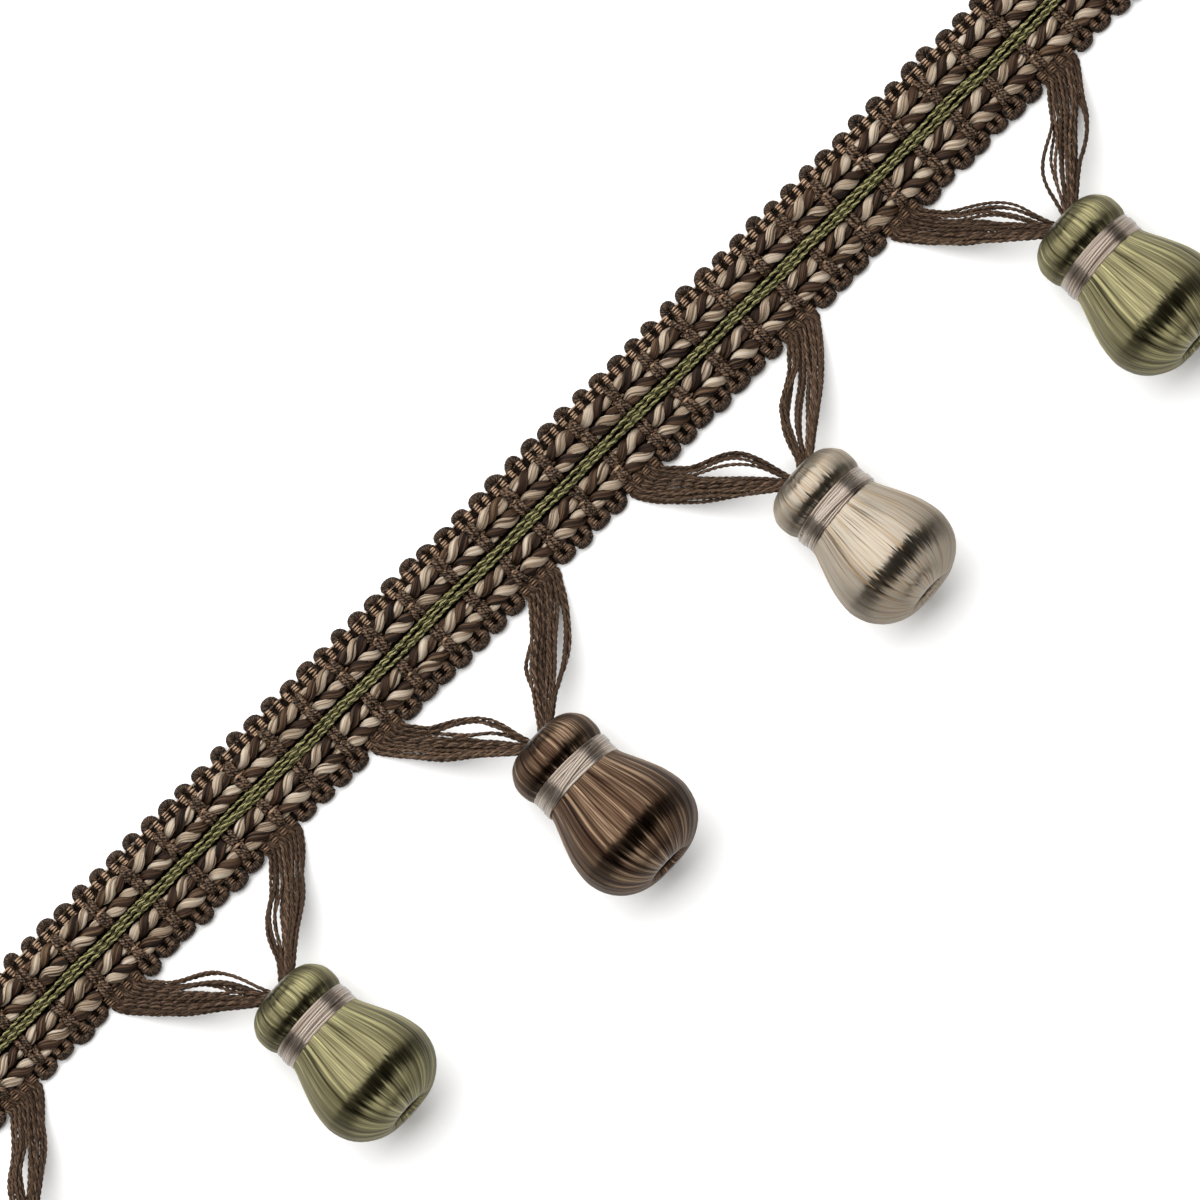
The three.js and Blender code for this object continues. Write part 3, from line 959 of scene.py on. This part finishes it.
drops = [make_drop(index, drop["floss"]) for index, drop in enumerate(DROPS)]

# %% [markdown]
# ## Bindings
# The waist is bound with a few turns of paler floss, laid nearly level, with the last turns crossing
# the rest at a slant. One long strand winds round the drop's axis, and is then pressed flat.

# %% Wind the bindings
BINDING_TURNS = 8
BINDING_TOP = 8.2 * MM
BINDING_END = 12.3 * MM
BINDING_RADIUS = 8.85 * MM
BINDING_STRAND = 0.36 * MM
BINDING_FLAT = 0.6
BINDING_WAVER = 0.1 * MM
LEVEL_SLANT = 0.3
CROSSING_TURNS = 3
CROSSING_LIFT = 0.35 * MM
CROSSING_FROM = (BINDING_TOP + BINDING_END) / 2 - 0.7 * MM
CROSSING_TO = (BINDING_TOP + BINDING_END) / 2 + 0.8 * MM
STEPS_PER_WIND = 44


def binding_points(chance, turns, low, high, slant, lift):
    points = []
    start = chance.uniform(0, math.tau)
    for step in range(turns * STEPS_PER_WIND + 1):
        turn = step / STEPS_PER_WIND
        angle = start + math.tau * turn
        waver = BINDING_WAVER * noise.noise(Vector((turn * 2.1, lift / MM, start)))
        level = low + (high - low) * turn / turns + slant * math.cos(angle) + waver
        radius = BINDING_RADIUS + lift
        points.append((radius * math.cos(angle), radius * math.sin(angle), level))
    return points


def flatten_binding(places):
    x, y, z = places.T
    radius = np.hypot(x, y)
    flat = BINDING_RADIUS + (radius - BINDING_RADIUS) * BINDING_FLAT
    return np.column_stack([x * flat / radius, y * flat / radius, z])


def make_binding(index):
    turns = Bundle()
    chance = dice("binding", index)
    cross = DROPS[index]["cross"] * MM
    runs = [
        (BINDING_TURNS, BINDING_TOP, BINDING_END, LEVEL_SLANT * cross, 0.0),
        (CROSSING_TURNS, CROSSING_FROM, CROSSING_TO, -cross, CROSSING_LIFT),
    ]
    for run in runs:
        points = binding_points(chance, *run)
        turns.lay(points, BINDING_STRAND, chance.random(), mould=flatten_binding)
    bmesh.ops.transform(turns.bm, matrix=drop_place(index), verts=turns.bm.verts)
    name = f"binding_{index + 1}"
    return turns.piece(f"wound_{name}", binding_floss, "binding_taupe", [name])


bindings = [make_binding(index) for index in range(len(DROPS))]

# %% [markdown]
# ## Skeins
# Two skeins of two-ply yarn carry each drop. They leave the front edge under the warp threads,
# gather, and go down the hole at the drop's top. The yarns lie in groups that part and leave slits,
# and in most skeins a few slack ones bow out. Each yarn's line lies between an outer and an inner
# curve, as in the frame, and two plies wind round that line. Each bracket in the table below is one
# group: how many yarns, how far they bow out in millimetres, and the shares of the way where the
# bow starts and ends.

# %% Lines of the yarns
YARN_OUTER = [(24.4, 0.0), (21.0, 6.4), (10.2, 13.4), (4.2, 19.0)]
YARN_INNER = [(16.2, 0.0), (11.4, 5.6), (5.4, 11.8), (0.8, 19.0)]
YARN_ROOT_Y = -10.6 * MM
YARN_IN_Y = -7.4 * MM
YARN_LOW = 0.85 * MM
YARN_PLY_OFFSET = 0.16 * MM
YARN_PLY_RADIUS = 0.23 * MM
YARN_TURN = 2.6 * MM
YARN_STEPS = 6
YARN_LAYER = 0.5 * MM
YARN_LAYERS = 3
YARN_DEEP = 2.6 * MM
YARN_CROSSING = 0.16
YARN_WANDER = 0.2
YARN_SHARE_OFF = 0.015
YARN_GATHERED = 0.9
YARN_PLIES = [{"half_turn": 0.0, "tone": 0.0}, {"half_turn": math.pi, "tone": 0.35}]
LINE_STEPS = 10
FINE_STEPS = 6
SKEINS = [
    {"left": [(19, 0.0, 0.0, 1.0), (5, 1.3, 0.3, 0.9)],
     "right": [(13, -0.4, 0.2, 0.9), (11, 0.9, 0.3, 0.8)]},
    {"left": [(18, -0.2, 0.1, 0.9), (2, 0.8, 0.3, 0.8), (2, 1.6, 0.3, 0.9), (2, 2.3, 0.2, 1.0)],
     "right": [(17, -0.2, 0.0, 1.0), (3, 0.7, 0.3, 0.7), (4, 1.4, 0.25, 0.8)]},
    {"left": [(18, -0.2, 0.0, 1.0), (2, 1.1, 0.5, 1.0), (2, 2.4, 0.25, 1.0), (2, 2.9, 0.2, 1.0)],
     "right": [(5, -1.7, 0.1, 0.85), (12, 0.0, 0.0, 1.0), (7, 0.9, 0.3, 0.75)]},
    {"left": [(19, -0.3, 0.0, 1.0), (2, 2.4, 0.25, 1.0), (3, 3.4, 0.2, 1.0)],
     "right": [(13, -0.4, 0.0, 1.0), (4, 1.1, 0.35, 0.95), (7, 2.2, 0.2, 0.95)]},
    {"left": [(19, -0.2, 0.0, 1.0), (2, 1.3, 0.3, 0.9), (3, 2.3, 0.2, 1.0)],
     "right": [(4, -1.2, 0.25, 0.75), (16, 0.0, 0.0, 1.0), (2, 1.0, 0.4, 0.9), (2, 2.4, 0.3, 1.0)]},
]


def bezier(controls, t):
    weights = [(1 - t) ** 3, 3 * (1 - t) ** 2 * t, 3 * (1 - t) * t * t, t**3]
    return [sum(w * point[axis] for w, point in zip(weights, controls)) for axis in (0, 1)]


def yarn_line(index, side, share, bow, window, layer, chance):
    """The middle line of one yarn, from under the heading into the hole of its drop."""
    root = YARN_OUTER[0][0] + (YARN_INNER[0][0] - YARN_OUTER[0][0]) * share
    rows = [(root, (YARN_ROOT_Y - YARN_IN_Y) / MM, YARN_LOW, 0.0), (root, -1.0, YARN_LOW, 0.0)]
    wander = chance.uniform(-YARN_WANDER, YARN_WANDER)
    cross = chance.uniform(0, 100)
    start, end = window
    for step in range(LINE_STEPS + 1):
        t = step / LINE_STEPS
        outer, inner = bezier(YARN_OUTER, t), bezier(YARN_INNER, t)
        midway = math.sin(math.pi * t)
        place = share + YARN_CROSSING * noise.noise(Vector((cross, t * 3, 0))) * midway
        across = outer[0] + (inner[0] - outer[0]) * place
        down = outer[1] + (inner[1] - outer[1]) * place
        slack = math.sin(math.pi * min(max((t - start) / (end - start), 0), 1)) ** 1.4
        away = (bow * slack + wander * midway) * math.sqrt(0.5)
        across -= away
        down -= away
        rise = YARN_LOW + (AXIS_TOP_Z - YARN_LOW) * (t * t * (3 - 2 * t)) ** 0.9
        rows.append((across, down, rise + layer * YARN_LAYER * (0.8 + 0.6 * t), t))
    line = []
    for across, down, z, t in rows:
        x = drop_x[index] + (side * across + DROPS[index]["aside"] * t) * MM
        line.append(Vector((x, YARN_ROOT_Y + (DROPS[index]["out"] * t - down) * MM, z)))
    inside = Vector((side * across * YARN_GATHERED * MM, layer * YARN_LAYER, YARN_DEEP))
    line.append(drop_place(index) @ inside)
    return line


def resample(line, spacing):
    """Points at an even spacing on a smooth curve through a line's points."""
    fine = []
    for index in range(len(line) - 1):
        before, start = line[max(index - 1, 0)], line[index]
        end, after = line[index + 1], line[min(index + 2, len(line) - 1)]
        for step in range(FINE_STEPS):
            fine.append(between(before, start, end, after, step / FINE_STEPS))
    fine.append(line[-1])
    fine = np.array([point[:] for point in fine])
    run = np.concatenate([[0], np.cumsum(np.linalg.norm(np.diff(fine, axis=0), axis=1))])
    count = max(int(run[-1] / spacing), 2)
    stations = np.linspace(0, run[-1], count + 1)
    return np.column_stack([np.interp(stations, run, fine[:, axis]) for axis in range(3)]), stations


def twist(points, stations, offset, pitch, phase):
    """Winds a ply round a line: the line's points, each moved off it by a turning offset."""
    along = np.gradient(points, axis=0)
    along /= np.linalg.norm(along, axis=1)[:, None]
    beside = np.cross(along, (0, 0, 1))
    beside /= np.linalg.norm(beside, axis=1)[:, None]
    above = np.cross(beside, along)
    turn = math.tau * stations / pitch + phase
    return points + offset * (np.cos(turn)[:, None] * beside + np.sin(turn)[:, None] * above)


# %% Lay the skeins
def lay_skein(bundle, index, side, groups):
    yarns = sum(count for count, *_ in groups)
    number = 0
    for count, bow, *window in groups:
        for _ in range(count):
            chance = dice("yarn", index, side, number)
            share = (number + 0.5) / yarns + chance.uniform(-YARN_SHARE_OFF, YARN_SHARE_OFF)
            layer = number % YARN_LAYERS - 1
            line = yarn_line(index, side, share, bow, window, layer, chance)
            points, stations = resample(line, YARN_TURN / YARN_STEPS)
            phase = chance.uniform(0, math.tau)
            for ply in YARN_PLIES:
                wound = twist(points, stations, YARN_PLY_OFFSET, YARN_TURN, phase + ply["half_turn"])
                bundle.lay(wound, YARN_PLY_RADIUS, ply["tone"] + chance.uniform(0.05, 0.6), sides=4)
            number += 1


def make_skeins(index, groups):
    bundle = Bundle()
    lay_skein(bundle, index, -1, groups["left"])
    lay_skein(bundle, index, 1, groups["right"])
    number = index + 1
    nodes = [f"skein_{number}_left", f"skein_{number}_right"]
    return bundle.piece(f"skeins_{number}", skein_yarn, "leg_yarn", nodes)


skeins = [make_skeins(index, groups) for index, groups in enumerate(SKEINS)]

# %% [markdown]
# The woven ground is the one sheet here, laid flat. The pieces sewn on it are listed. No cord is
# free: every strand is held in the heading or in a drop.

# %% List the pieces sewn on the ground
SEWN_ON = [picots, warp_threads, cream_plies, brown_plies, ties, green_threads]
SEWN_ON += [*skeins, *drops, *bindings]
